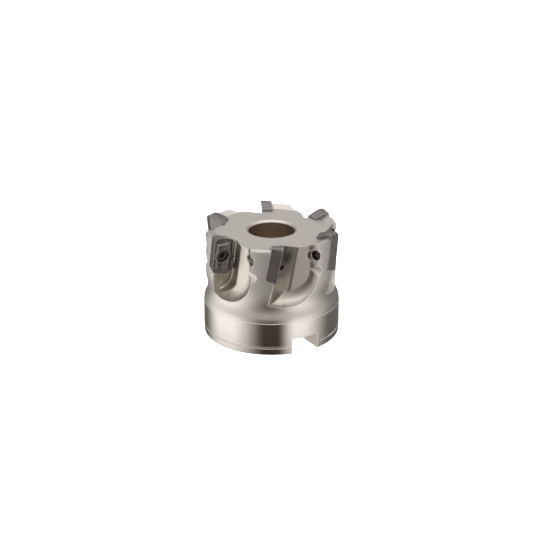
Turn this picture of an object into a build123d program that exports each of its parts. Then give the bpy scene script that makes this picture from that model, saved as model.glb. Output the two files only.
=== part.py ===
"""Indexable face mill: a steel cutter body that carries six screwed-on carbide inserts.

Frame: millimetres, +Z up.  The origin is the centre of the drive face, the ring that sits on the
arbor, and +Z points along the axis to the cutting face.  Each tooth is modelled once, pointing
along +X, and then turned into its six places.
"""
from build123d import *
import os
from math import cos, radians, sin, tan

# ---- driving dimensions -------------------------------------------------------------------
cutting_diameter = 50.0
cutter_height = 40.0
tooth_count = 6
first_tooth_angle = -80.4

# hub at the back of the body, with a ring groove near the drive face
hub_radius = 24.2
back_chamfer = 0.3
back_rim_radius = 24.1
ring_groove_radius = 23.85
ring_groove_bottom = 2.3
ring_groove_top = 3.1
ring_groove_flank = 0.15
band_height = 11.8
band_step = 0.08
hub_height = 12.3

# neck, tooth lands and cutting face
shoulder_radius = 23.45
shoulder_height = 14.6
neck_radius = 22.75
neck_height = 17.6
flare_radius = 23.1
flare_height = 20.6
land_radius = 23.7
land_height = 25.0
crest_radius = 23.0
crest_height = 38.9
crest_round_depth = 1.4
crest_round_middle = 0.8
crest_round_inset = 0.15
face_height = 37.85
face_radius = 20.1

# arbor interface
arbor_bore_radius = 11.0
arbor_bore_depth = 20.0
arbor_bore_chamfer = 0.8
bolt_hole_radius = 5.5
bolt_seat_height = 26.0
bolt_head_radius = 8.25
bolt_head_chamfer = 0.7
slot_width = 10.4
slot_depth = 5.8
slot_angle = -60.1

# insert seats
radial_rake = 8.0
rake_tilt = 13.6
seat_tilt = 10.6
insert_width = 7.6
insert_length = 15.2
insert_thickness = 3.9
insert_relief = 14.0
insert_end_drop = 1.6
insert_end_flat = 3.0
nose_radius = 1.6
blunt_radius = 0.5
seat_gap = 0.15
seat_overrun = 4.0
seat_corner_radius = 0.7
seat_corner_inset = 0.9

# chip groove in the top of the insert
rim_width = 0.25
groove_depth = 0.45
groove_taper = 60.0
platform_width = 4.9
platform_length = 9.6
platform_taper = 35.0
boss_radius = 3.1

# gullets
gullet_wall = 18.6
gullet_floor = 17.2
gullet_back = 15.2
gullet_back_top = 14.2
gullet_front = -9.0
gullet_front_rise = 1.4
gullet_corner_radius = 11.8
gullet_root_radius = 5.0
gullet_reach = 10.0
above_face = 6.0

# relief that frees the inner side of the insert
ledge_width = 1.3
relief_taper = 20.0
relief_height = 7.5
relief_foot = 22.3
relief_foot_radius = 6.5
relief_start = 0.8
relief_root_radius = 0.8
relief_blend_radius = 2.2
crease_inner_reach = 0.1
crease_outer_reach = 1.5

# insert screws, M3.5 x 0.6; the thread grooves are placed by shares of the pitch
screw_radius = 1.70
thread_hole_radius = 1.75
thread_pitch = 0.6
thread_depth = 0.3
thread_start = -4.2
thread_root_start = 0.4
thread_root_end = 0.5
thread_crest_start = 0.9
groove_count = 4
head_radius = 2.4
head_top = 0.75
head_lip = 0.35
head_edge = 0.2
head_gap = 0.06
head_half_angle = 30.0
socket_radius = 1.12
socket_lobe_radius = 0.28
socket_lobe_count = 6
socket_depth = 1.5
insert_hole_radius = 1.95
screw_reach = 7.0
screw_tip_chamfer = 0.3

# holes behind the seats
thread_hole_depth = 9.0
exit_bore_start = 8.8
exit_bore_depth = 6.0
exit_bore_radius = 2.2
coolant_radius = 1.1
coolant_length = 14.0
coolant_start = Vector(6.5, 0.0, 27.0)
coolant_run = Vector(10.5, 0.5, 3.1)

# shallow scallop in the gullet wall, towards the next tooth
scallop_radius = 2.2
scallop_depth = 0.12
scallop_tip_radius = 0.05
scallop_start = Vector(gullet_wall - scallop_depth, 5.2, 30.9)
scallop_end = Vector(gullet_wall + scallop_radius, 15.0, 28.3)

os.makedirs("parts", exist_ok=True)


# ---- reference frames of the tooth that points along +X ------------------------------------
def tooth_plane(tilt, origin=Vector(cutting_diameter / 2, 0, cutter_height)):
    """Plane turned like the rake face: x runs inward, y up the tooth, z out of the rake face."""
    lean = radians(radial_rake)
    drop = radians(tilt)
    inward = Vector(-cos(lean), sin(lean), 0)
    outward_normal = Vector(sin(lean) * cos(drop), cos(lean) * cos(drop), -sin(drop))
    return Plane(origin=origin, x_dir=inward, z_dir=outward_normal)


half_width = insert_width / 2
half_length = insert_length / 2
rake_plane = tooth_plane(rake_tilt)
seat_plane = tooth_plane(seat_tilt)
insert_centre = seat_plane.from_local_coords(Vector(half_width, -half_length, 0))
insert_plane = tooth_plane(seat_tilt, insert_centre)
seat_floor = insert_plane.offset(-insert_thickness)
screw_axis = Axis(insert_plane.origin, insert_plane.z_dir)


def insert_corners(inset):
    """Corners of the insert seen on its rake face, moved inwards by inset."""
    side = half_width - inset
    end = half_length - inset
    return [
        (-side, end),
        (insert_end_flat - half_width, end),
        (side, end - insert_end_drop),
        (side, -end),
        (half_width - insert_end_flat, -end),
        (-side, insert_end_drop - end),
    ]


# ---- cutter body: turned blank --------------------------------------------------------------
with BuildPart() as blank:
    with BuildSketch(Plane.XZ):
        with BuildLine():
            Polyline(
                (0, 0),
                (back_rim_radius - back_chamfer, 0),
                (back_rim_radius, back_chamfer),
                (back_rim_radius, ring_groove_bottom),
                (ring_groove_radius, ring_groove_bottom + ring_groove_flank),
                (ring_groove_radius, ring_groove_top - ring_groove_flank),
                (hub_radius, ring_groove_top),
                (hub_radius, band_height - band_step),
                (hub_radius - band_step, band_height),
                (hub_radius - band_step, hub_height),
            )
            Spline(
                (hub_radius - band_step, hub_height),
                (shoulder_radius, shoulder_height),
                (neck_radius, neck_height),
                (flare_radius, flare_height),
                (land_radius, land_height),
                tangents=((0, 1), (0, 1)),
            )
            Polyline(
                (land_radius, land_height),
                (land_radius, crest_height - crest_round_depth),
                (land_radius - crest_round_inset, crest_height - crest_round_middle),
                (crest_radius, crest_height),
                (face_radius, face_height),
                (0, face_height),
                (0, 0),
            )
        make_face()
    revolve(axis=Axis.Z)

# ---- one gullet, with the relief beside its insert seat ----------------------------------------
with BuildPart() as gullet:
    wall_plane = Plane(origin=(gullet_wall, 0, 0), x_dir=(0, 1, 0), z_dir=(1, 0, 0))
    corner_start = gullet_back - gullet_corner_radius
    with BuildSketch(wall_plane):
        with BuildLine():
            Polyline(
                (gullet_back, gullet_floor + gullet_corner_radius),
                (gullet_back_top, cutter_height + above_face),
                (gullet_front, cutter_height + above_face),
                (gullet_front, gullet_floor + gullet_front_rise),
                (0, gullet_floor),
                (corner_start, gullet_floor),
            )
            RadiusArc(
                (corner_start, gullet_floor),
                (gullet_back, gullet_floor + gullet_corner_radius),
                -gullet_corner_radius,
            )
        make_face()
    extrude(amount=gullet_reach)
    inner_face = gullet.faces().sort_by(Axis.X)[0]
    root_edges = inner_face.edges().sort_by(Axis.Z)[:-1].sort_by(Axis.Y)[1:]
    fillet(root_edges, radius=gullet_root_radius)
    split(bisect_by=rake_plane, keep=Keep.TOP)

with BuildPart() as seat_relief:
    relief_inner = insert_width + seat_gap + ledge_width
    relief_top = -insert_length - relief_start
    with BuildSketch(rake_plane):
        with BuildLine():
            Polyline(
                (relief_inner, relief_top),
                (relief_inner, above_face),
                (-above_face, above_face),
                (-above_face, -relief_foot),
                (relief_inner - relief_foot_radius, -relief_foot),
            )
            RadiusArc(
                (relief_inner - relief_foot_radius, -relief_foot),
                (relief_inner, relief_top),
                -relief_foot_radius,
            )
        make_face()
    extrude(amount=relief_height, taper=relief_taper)
    floor_face = seat_relief.faces().sort_by(Axis.Y)[0]
    fillet(floor_face.edges(), radius=relief_root_radius)

with BuildPart() as pocket:
    add(gullet.part)
    add(seat_relief.part)
    seams = pocket.edges(Select.NEW).filter_by_position(Axis.Z, gullet_floor, face_height)
    crease = seams.filter_by_position(
        Axis.X, gullet_wall - crease_inner_reach, gullet_wall + crease_outer_reach
    )
    fillet(crease, radius=relief_blend_radius)

# ---- insert seat and holes of one tooth -----------------------------------------------------------
with BuildPart() as seat:
    seat_inner = insert_width + seat_gap
    seat_bottom = -insert_length - seat_gap
    slope_start = insert_width - insert_end_flat
    end_slope = insert_end_drop / slope_start
    outer_bottom = seat_bottom + insert_end_drop + seat_overrun * end_slope
    with BuildSketch(seat_plane):
        with BuildLine():
            Polyline(
                (-seat_overrun, above_face),
                (seat_inner, above_face),
                (seat_inner, seat_bottom),
                (slope_start, seat_bottom),
                (-seat_overrun, outer_bottom),
                close=True,
            )
        make_face()
    extrude(amount=-insert_thickness, taper=insert_relief)
    with BuildSketch(seat_floor):
        with Locations((half_width - seat_corner_inset, -half_length + seat_corner_radius)):
            Circle(seat_corner_radius)
    extrude(amount=insert_thickness)

with BuildPart() as screw_hole:
    with BuildSketch(seat_floor):
        Circle(thread_hole_radius)
    extrude(amount=-thread_hole_depth)
    with BuildSketch(insert_plane.offset(-exit_bore_start)):
        Circle(exit_bore_radius)
    extrude(amount=-exit_bore_depth)

with BuildPart() as coolant_hole:
    with BuildSketch(Plane(origin=coolant_start, x_dir=(0, 1, 0), z_dir=coolant_run)):
        Circle(coolant_radius)
    extrude(amount=coolant_length)

with BuildPart() as scallop:
    scallop_run = scallop_end - scallop_start
    with Locations(Plane(origin=scallop_start, z_dir=scallop_run)):
        Cone(
            scallop_tip_radius,
            scallop_radius,
            scallop_run.length,
            align=(Align.CENTER, Align.CENTER, Align.MIN),
        )

# ---- cutter body -----------------------------------------------------------------------------
with BuildPart() as cutter_body:
    add(blank.part)
    with PolarLocations(0, tooth_count, start_angle=first_tooth_angle):
        add(pocket.part, mode=Mode.SUBTRACT)
        add(seat.part, mode=Mode.SUBTRACT)
        add(screw_hole.part, mode=Mode.SUBTRACT)
        add(coolant_hole.part, mode=Mode.SUBTRACT)
        add(scallop.part, mode=Mode.SUBTRACT)
    with BuildSketch(Plane.XY):
        Circle(arbor_bore_radius)
    extrude(amount=arbor_bore_depth, mode=Mode.SUBTRACT)
    with BuildSketch(Plane.XY):
        Circle(bolt_hole_radius)
    extrude(amount=cutter_height, mode=Mode.SUBTRACT)
    with BuildSketch(Plane.XY.offset(bolt_seat_height)):
        Circle(bolt_head_radius)
    extrude(amount=cutter_height, mode=Mode.SUBTRACT)
    level_faces = cutter_body.faces().filter_by(Plane.XY).sort_by(Axis.Z)
    recess_mouth = level_faces[-1].edges().filter_by(GeomType.CIRCLE).sort_by(SortBy.RADIUS)[0]
    bore_mouth = level_faces[0].edges().filter_by(GeomType.CIRCLE).sort_by(SortBy.RADIUS)[0]
    chamfer(recess_mouth, length=bolt_head_chamfer)
    chamfer(bore_mouth, length=arbor_bore_chamfer)
    with BuildSketch(Plane.XY):
        Rectangle(4 * hub_radius, slot_width, rotation=slot_angle)
    extrude(amount=slot_depth, mode=Mode.SUBTRACT)

# ---- insert ------------------------------------------------------------------------------------
with BuildPart() as chip_groove:
    groove_floor = insert_plane.offset(-groove_depth)
    with BuildSketch(insert_plane) as groove_outline:
        with BuildLine():
            Polyline(*insert_corners(rim_width), close=True)
        make_face()
        groove_noses = groove_outline.vertices().sort_by_distance((0, 0, 0))[-2:]
        fillet(groove_noses, nose_radius - rim_width)
    extrude(amount=-groove_depth, taper=groove_taper)
    with BuildSketch(groove_floor):
        Rectangle(platform_width, platform_length)
    extrude(amount=groove_depth, taper=platform_taper, mode=Mode.SUBTRACT)
    with BuildSketch(groove_floor):
        Circle(boss_radius)
    extrude(amount=groove_depth, taper=platform_taper, mode=Mode.SUBTRACT)

with BuildPart() as insert:
    with BuildSketch(insert_plane) as outline:
        with BuildLine():
            Polyline(*insert_corners(0), close=True)
        make_face()
        blunt_corners = outline.vertices().sort_by_distance((0, 0, 0))[:4]
        fillet(blunt_corners, blunt_radius)
        nose_corners = outline.vertices().sort_by_distance((0, 0, 0))[-2:]
        fillet(nose_corners, nose_radius)
    extrude(amount=-insert_thickness, taper=insert_relief)
    add(chip_groove.part, mode=Mode.SUBTRACT)
    head_room = head_radius + head_gap
    cone_depth = (head_room - insert_hole_radius) / tan(radians(head_half_angle))
    head_seat = insert_plane.offset(-head_top - head_lip)
    with BuildSketch(seat_floor):
        Circle(insert_hole_radius)
    extrude(amount=insert_thickness, mode=Mode.SUBTRACT)
    with BuildSketch(head_seat):
        Circle(head_room)
    extrude(amount=-cone_depth, taper=head_half_angle, mode=Mode.SUBTRACT)
    with BuildSketch(head_seat):
        Circle(head_room)
    extrude(amount=insert_thickness, mode=Mode.SUBTRACT)

# ---- insert screw --------------------------------------------------------------------------
with BuildPart() as insert_screw:
    profile_plane = Plane(insert_plane.origin, insert_plane.x_dir, -insert_plane.y_dir)
    head_cone = (head_radius - screw_radius) / tan(radians(head_half_angle))
    thread_points = []
    for groove in range(groove_count):
        top = thread_start - groove * thread_pitch
        thread_points += [
            (screw_radius, top),
            (screw_radius - thread_depth, top - thread_pitch * thread_root_start),
            (screw_radius - thread_depth, top - thread_pitch * thread_root_end),
            (screw_radius, top - thread_pitch * thread_crest_start),
        ]
    with BuildSketch(profile_plane):
        with BuildLine():
            Polyline(
                (0, -head_top),
                (head_radius - head_edge, -head_top),
                (head_radius, -head_top - head_edge),
                (head_radius, -head_top - head_lip),
                (screw_radius, -head_top - head_lip - head_cone),
                *thread_points,
                (screw_radius, screw_tip_chamfer - screw_reach),
                (screw_radius - screw_tip_chamfer, -screw_reach),
                (0, -screw_reach),
                close=True,
            )
        make_face()
    revolve(axis=screw_axis)
    with BuildSketch(insert_plane.offset(-head_top)):
        Circle(socket_radius)
        with PolarLocations(socket_radius, socket_lobe_count):
            Circle(socket_lobe_radius)
    extrude(amount=-socket_depth, mode=Mode.SUBTRACT)

# ---- the six teeth ---------------------------------------------------------------------------
for number in range(tooth_count):
    turn = Location((0, 0, 0), (0, 0, first_tooth_angle + number * 360 / tooth_count))
    with BuildPart() as placed_insert:
        with Locations(turn):
            add(insert.part)
    placed_insert.part.label = f"cutting_insert_{number + 1}"
    export_step(placed_insert.part, f"parts/cutting_insert_{number + 1}.step")
    with BuildPart() as placed_screw:
        with Locations(turn):
            add(insert_screw.part)
    placed_screw.part.label = f"insert_screw_{number + 1}"
    export_step(placed_screw.part, f"parts/insert_screw_{number + 1}.step")

cutter_body.part.label = "cutter_body"
export_step(cutter_body.part, "parts/cutter_body.step")
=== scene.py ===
"""Looks of the face mill: nickel-finished steel body, coated carbide inserts, blackened screws.

Everything is in metres in the CAD frame. The cutter stands on its drive face at Z = 0, +Z is the
axis towards the cutting face, and the camera looks along +Y. Materials measure in millimetres,
from the cutter's axis and drive face.
"""
import math

import bpy
from mathutils import Matrix, Vector

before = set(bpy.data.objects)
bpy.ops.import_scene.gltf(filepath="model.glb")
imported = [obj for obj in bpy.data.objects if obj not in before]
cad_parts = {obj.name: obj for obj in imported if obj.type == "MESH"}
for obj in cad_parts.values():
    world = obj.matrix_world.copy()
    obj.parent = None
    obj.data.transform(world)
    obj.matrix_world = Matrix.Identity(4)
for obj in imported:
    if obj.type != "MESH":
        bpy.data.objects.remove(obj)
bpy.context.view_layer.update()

MM = 0.001

# zones of the cutter body, in millimetres
BAND_TOP = 11.8
BAND_RADIUS = 23.6
NECK_HEIGHT = 16.0
LAND_HEIGHT = 26.0
POCKET_RADIUS = 22.2
FACE_HEIGHT = 37.85
BORE_RADIUS = 11.0
BORE_TOP = 20.0
RECESS_RADIUS = 8.25
# how far the painted shade in small holes and gullets looks for open surroundings
HOLE_REACH = 3.0
GULLET_REACH = 14.0

# edge rounding that catches light, in millimetres
STEEL_EDGE = 0.22
CARBIDE_EDGE = 0.22
SCREW_EDGE = 0.12

# camera: a long lens a little over half a metre away
CAMERA_TARGET = Vector((1.23, 0.0, 20.19)) * MM
CAMERA_ELEVATION = math.radians(22.69)
CAMERA_DISTANCE = 556.85 * MM
CAMERA_ROLL = math.radians(0.16)
LENS = 102.2
SENSOR_WIDTH = 36.0

FLOOR_REACH = 1.5
FLOOR_GAP = 0.02 * MM
ROOM_BRIGHTNESS = 1.35


# ---- shader nodes -------------------------------------------------------------------------------
def rgb(red, green, blue):
    return (red, green, blue, 1.0)


class Nodes:
    """Adds and links shader nodes, so that each material reads as a short recipe."""

    def __init__(self, tree):
        self.tree = tree
        tree.nodes.clear()

    def put(self, socket, value):
        if isinstance(value, bpy.types.NodeSocket):
            self.tree.links.new(value, socket)
        else:
            socket.default_value = value

    def add(self, kind, inputs=None, **settings):
        node = self.tree.nodes.new(kind)
        for name, value in settings.items():
            setattr(node, name, value)
        for key, value in (inputs or {}).items():
            self.put(node.inputs[key], value)
        return node

    def math(self, operation, a, b=0.0):
        return self.add("ShaderNodeMath", {0: a, 1: b}, operation=operation).outputs[0]

    def times(self, a, b):
        return self.math("MULTIPLY", a, b)

    def combine(self, x, y, z):
        return self.add("ShaderNodeCombineXYZ", {0: x, 1: y, 2: z}).outputs[0]

    def ramp(self, value, low, high, out_low=0.0, out_high=1.0):
        """out_low below low, out_high above high, smooth between them."""
        inputs = {
            "Value": value,
            "From Min": low,
            "From Max": high,
            "To Min": out_low,
            "To Max": out_high,
        }
        node = self.add("ShaderNodeMapRange", inputs, interpolation_type="SMOOTHSTEP")
        return node.outputs["Result"]

    def window(self, value, low, low_soft, high, high_soft):
        """1 between low and high and 0 outside, each side with its own softness."""
        rise = self.ramp(value, low - low_soft, low + low_soft)
        fall = self.ramp(value, high - high_soft, high + high_soft)
        return self.math("SUBTRACT", rise, fall)

    def mix(self, share, a, b):
        inputs = {0: share, 2: a, 3: b}
        return self.add("ShaderNodeMix", inputs, data_type="FLOAT").outputs[0]

    def tint(self, share, a, b):
        """Colour a where share is 0 and colour b where it is 1."""
        inputs = {0: share, 6: a, 7: b}
        return self.add("ShaderNodeMix", inputs, data_type="RGBA").outputs[2]

    def noise(self, place, scale, detail):
        inputs = {"Vector": place, "Scale": scale, "Detail": detail}
        return self.add("ShaderNodeTexNoise", inputs).outputs["Fac"]

    def point(self):
        """The shaded point in the CAD frame at rest, in millimetres."""
        metres = self.add("ShaderNodeTexCoord").outputs["Object"]
        inputs = {0: metres, "Scale": 1 / MM}
        return self.add("ShaderNodeVectorMath", inputs, operation="SCALE").outputs[0]

    def radius_and_height(self, point):
        """Distance from the cutter's axis and height over its drive face."""
        parts = self.add("ShaderNodeSeparateXYZ", {0: point})
        flat = self.combine(parts.outputs[0], parts.outputs[1], 0.0)
        length = self.add("ShaderNodeVectorMath", {0: flat}, operation="LENGTH")
        return length.outputs["Value"], parts.outputs[2]

    def edge_round_and_highlight(self, radius):
        """(rounded normal, mask of the outer edges for a painted highlight) for edges broken by
        about radius mm.
        """
        rounded = self.add("ShaderNodeBevel", {"Radius": radius * MM}, samples=6).outputs[0]
        flat = self.add("ShaderNodeNewGeometry").outputs["Normal"]
        dot = self.add("ShaderNodeVectorMath", {0: rounded, 1: flat}, operation="DOT_PRODUCT")
        return rounded, self.ramp(dot.outputs["Value"], 0.99, 0.90)

    def cavity(self, reach, open_share, closed_share):
        """0 where open_share of the surroundings within reach mm is free, 1 where only
        closed_share of them is."""
        light = self.add("ShaderNodeAmbientOcclusion", {"Distance": reach * MM}, samples=8)
        return self.ramp(light.outputs["AO"], open_share, closed_share)

    def bump(self, height, depth, normal):
        """Bump of depth mm on top of normal, for a height that runs from 0 to 1."""
        inputs = {"Height": height, "Distance": depth * MM, "Strength": 1.0, "Normal": normal}
        return self.add("ShaderNodeBump", inputs).outputs[0]

    def surface(self, **inputs):
        """Principled shader; coat_ior=2.2 sets its input "Coat IOR", and so on."""
        names = {
            name.replace("_", " ").title().replace("Ior", "IOR"): value
            for name, value in inputs.items()
        }
        shader = self.add("ShaderNodeBsdfPrincipled", names)
        self.add("ShaderNodeOutputMaterial", {"Surface": shader.outputs[0]})


def new_material(name):
    material = bpy.data.materials.new(name)
    material.use_nodes = True
    return material, Nodes(material.node_tree)


# ---- materials ----------------------------------------------------------------------------------
def body_zones(n, radius, height):
    """Masks of the cutter body: ground band, cutting face, bore, painted shade in small holes,
    gullets.
    """
    on_band = n.times(
        n.ramp(height, BAND_TOP + 0.03, BAND_TOP - 0.03),
        n.ramp(radius, BAND_RADIUS - 0.05, BAND_RADIUS + 0.05),
    )
    on_face = n.ramp(height, FACE_HEIGHT - 0.05, FACE_HEIGHT - 0.01)
    bore_wall = n.ramp(height, BORE_TOP + 0.1, BORE_TOP + 0.3, BORE_RADIUS, RECESS_RADIUS)
    in_bore = n.ramp(n.math("SUBTRACT", radius, bore_wall), 0.12, 0.04)
    outside_bore = n.math("SUBTRACT", 1.0, in_bore)
    # painted shade: small holes outside the bore darken where little of the surroundings within
    # reach is open
    hole_painted_shade = n.times(n.cavity(HOLE_REACH, 0.55, 0.25), outside_bore)
    in_gullet = n.times(
        n.ramp(radius, POCKET_RADIUS + 0.4, POCKET_RADIUS - 0.4),
        n.ramp(height, FACE_HEIGHT - 0.02, FACE_HEIGHT - 0.06),
    )
    return on_band, on_face, in_bore, hole_painted_shade, in_gullet


def nickel_steel():
    """Satin nickel-finished steel with a ground band round the hub and turned rings on the face,
    with painted shade in the gullets and small holes and a painted highlight along the edges.
    """
    material, n = new_material("nickel_steel_finish")
    point = n.point()
    radius, height = n.radius_and_height(point)
    on_band, on_face, in_bore, hole_painted_shade, in_gullet = body_zones(n, radius, height)
    # painted shade: the gullets darken where little of the surroundings within reach is open
    shaded = n.times(n.cavity(GULLET_REACH, 0.98, 0.5), 0.45)
    rounded, edge_highlight = n.edge_round_and_highlight(STEEL_EDGE)

    cloud = n.noise(point, scale=0.16, detail=3.0)
    grain = n.noise(point, scale=9.0, detail=4.0)
    ring_place = n.combine(n.times(radius, 6.0), 0.0, n.times(height, 9.0))
    rings = n.noise(ring_place, scale=1.0, detail=3.0)

    colour = n.tint(cloud, rgb(0.700, 0.665, 0.630), rgb(0.760, 0.735, 0.710))
    colour = n.tint(in_gullet, colour, rgb(0.700, 0.660, 0.600))
    # painted shade in the gullets
    colour = n.tint(shaded, colour, rgb(0.360, 0.330, 0.275))
    colour = n.tint(in_bore, colour, rgb(0.640, 0.550, 0.480))
    # painted shade: near black inside the small holes
    colour = n.tint(hole_painted_shade, colour, rgb(0.030, 0.027, 0.024))
    # painted highlight: edges lighter and less metallic, so they read as bright lines
    colour = n.tint(n.times(edge_highlight, 0.5), colour, rgb(0.880, 0.860, 0.840))
    metallic = n.mix(n.times(edge_highlight, 0.8), 1.0, 0.0)

    satin = n.ramp(height, NECK_HEIGHT, LAND_HEIGHT, 0.34, 0.50)
    rough = n.math("ADD", satin, n.mix(cloud, -0.03, 0.03))
    rough = n.mix(in_gullet, rough, 0.32)
    rough = n.mix(on_face, rough, 0.38)
    rough = n.mix(on_band, rough, n.mix(rings, 0.07, 0.14))
    rough = n.mix(in_bore, rough, 0.30)
    rough = n.mix(n.times(edge_highlight, 0.4), rough, 0.22)

    relief = n.mix(on_band, n.mix(0.5, grain, rings), rings)
    normal = n.bump(relief, 0.004, rounded)
    n.surface(base_color=colour, metallic=metallic, roughness=rough, normal=normal)
    return material


def coated_carbide():
    """Dark coated carbide: fine sintered grain, faint colour drift, and a painted highlight along
    the edges.
    """
    material, n = new_material("coated_carbide_finish")
    point = n.point()
    drift = n.ramp(n.noise(point, scale=0.35, detail=2.0), 0.35, 0.65)
    grain = n.noise(point, scale=22.0, detail=3.0)
    rounded, edge_highlight = n.edge_round_and_highlight(CARBIDE_EDGE)
    edge_highlight = n.times(edge_highlight, 0.8)

    violet = rgb(0.068, 0.050, 0.050)
    green = rgb(0.080, 0.074, 0.070)
    # painted highlight: insert edges lighter and less metallic
    colour = n.tint(edge_highlight, n.tint(drift, violet, green), rgb(0.620, 0.600, 0.580))
    n.surface(
        base_color=colour,
        metallic=n.mix(edge_highlight, 0.8, 0.2),
        roughness=n.mix(grain, 0.30, 0.46),
        normal=n.bump(grain, 0.003, rounded),
        coat_weight=1.0,
        coat_ior=2.2,
        coat_roughness=0.2,
    )
    return material


def blackened_steel():
    """Oil-blackened screw steel, lighter along the edges of head and socket: a painted highlight.
    """
    material, n = new_material("blackened_steel_finish")
    point = n.point()
    patches = n.noise(point, scale=1.4, detail=3.0)
    grain = n.noise(point, scale=18.0, detail=2.0)
    rounded, edge_highlight = n.edge_round_and_highlight(SCREW_EDGE)

    colour = n.tint(patches, rgb(0.075, 0.070, 0.066), rgb(0.120, 0.113, 0.108))
    # painted highlight: edges of head and socket lighter
    colour = n.tint(n.times(edge_highlight, 0.7), colour, rgb(0.500, 0.480, 0.460))
    rough = n.mix(grain, 0.30, 0.44)
    normal = n.bump(grain, 0.003, rounded)
    n.surface(base_color=colour, metallic=0.9, roughness=rough, normal=normal)
    return material


def pale_floor():
    """Matt near-white floor with a little light of its own, so that hardly any shadow shows."""
    material, n = new_material("pale_floor")
    mottle = n.noise(n.point(), scale=0.02, detail=2.0)
    n.surface(
        base_color=n.tint(mottle, rgb(0.93, 0.93, 0.93), rgb(0.95, 0.95, 0.95)),
        roughness=0.9,
        emission_color=rgb(1, 1, 1),
        emission_strength=0.9,
    )
    return material


# ---- the stage ----------------------------------------------------------------------------------
def reflected_room(n):
    """Colour that metal sees in each direction: two tall soft panels left and right of a dark
    camera side, and a bright ceiling. Azimuth is 0 towards the camera and grows to its right."""
    direction = n.add("ShaderNodeTexCoord").outputs["Generated"]
    parts = n.add("ShaderNodeSeparateXYZ", {0: direction})
    x, y, z = parts.outputs[0], parts.outputs[1], parts.outputs[2]
    azimuth = n.math("DEGREES", n.math("ARCTAN2", x, n.times(y, -1.0)))
    elevation = n.math("DEGREES", n.math("ARCSINE", z))

    sideways = n.ramp(n.math("ABSOLUTE", azimuth), 50.0, 120.0)
    left = n.window(azimuth, low=-120.0, low_soft=26.0, high=-42.0, high_soft=32.0)
    right = n.window(azimuth, low=26.0, low_soft=16.0, high=84.0, high_soft=34.0)
    walls = n.tint(sideways, rgb(0.072, 0.056, 0.044), rgb(0.170, 0.158, 0.145))
    walls = n.tint(left, walls, rgb(1.30, 1.25, 1.21))
    walls = n.tint(right, walls, rgb(1.20, 1.16, 1.12))

    towards_ceiling = n.ramp(elevation, 24.0, 68.0)
    overhead = n.ramp(elevation, 70.0, 86.0)
    upper = n.tint(towards_ceiling, rgb(0.520, 0.490, 0.475), rgb(1.30, 1.27, 1.25))
    upper = n.tint(overhead, upper, rgb(0.62, 0.60, 0.59))
    return n.tint(n.ramp(elevation, -12.0, 34.0), walls, upper)


def studio_world():
    """A plain white room for everything but reflections, which see the room's panels."""
    world = bpy.data.worlds.new("studio")
    bpy.context.scene.world = world
    world.use_nodes = True
    n = Nodes(world.node_tree)
    path = n.add("ShaderNodeLightPath")
    panels = n.add("ShaderNodeBackground", {"Color": reflected_room(n), "Strength": 1.0})
    white = n.add("ShaderNodeBackground", {"Color": rgb(1, 1, 1), "Strength": ROOM_BRIGHTNESS})
    share = {0: path.outputs["Is Glossy Ray"], 1: white.outputs[0], 2: panels.outputs[0]}
    both = n.add("ShaderNodeMixShader", share)
    n.add("ShaderNodeOutputWorld", {"Surface": both.outputs[0]})


def lay_floor():
    reach = FLOOR_REACH
    corners = [(-reach, -reach, 0), (reach, -reach, 0), (reach, reach, 0), (-reach, reach, 0)]
    mesh = bpy.data.meshes.new("floor")
    mesh.from_pydata(corners, [], [(0, 1, 2, 3)])
    floor = bpy.data.objects.new("floor", mesh)
    bpy.context.scene.collection.objects.link(floor)
    floor.location.z = -FLOOR_GAP
    floor.visible_glossy = False
    mesh.materials.append(pale_floor())


def set_camera():
    """Looks down on the cutter along +Y, by the camera's elevation."""
    back = Vector((0.0, -math.cos(CAMERA_ELEVATION), math.sin(CAMERA_ELEVATION)))
    data = bpy.data.cameras.new("camera")
    data.lens = LENS
    data.sensor_width = SENSOR_WIDTH
    camera = bpy.data.objects.new("camera", data)
    bpy.context.scene.collection.objects.link(camera)
    place = Matrix.Translation(CAMERA_TARGET + back * CAMERA_DISTANCE)
    turn = (-back).to_track_quat("-Z", "Y").to_matrix().to_4x4()
    camera.matrix_world = place @ turn @ Matrix.Rotation(CAMERA_ROLL, 4, "Z")
    bpy.context.scene.camera = camera


# ---- the object ---------------------------------------------------------------------------------
def dress(prefix, material):
    """Gives the material to every CAD node whose name starts with prefix."""
    for name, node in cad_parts.items():
        if name.startswith(prefix):
            node.data.materials.clear()
            node.data.materials.append(material)


dress("cutter_body", nickel_steel())
dress("cutting_insert", coated_carbide())
dress("insert_screw", blackened_steel())
studio_world()
lay_floor()
set_camera()
bpy.context.scene.view_settings.view_transform = "Standard"
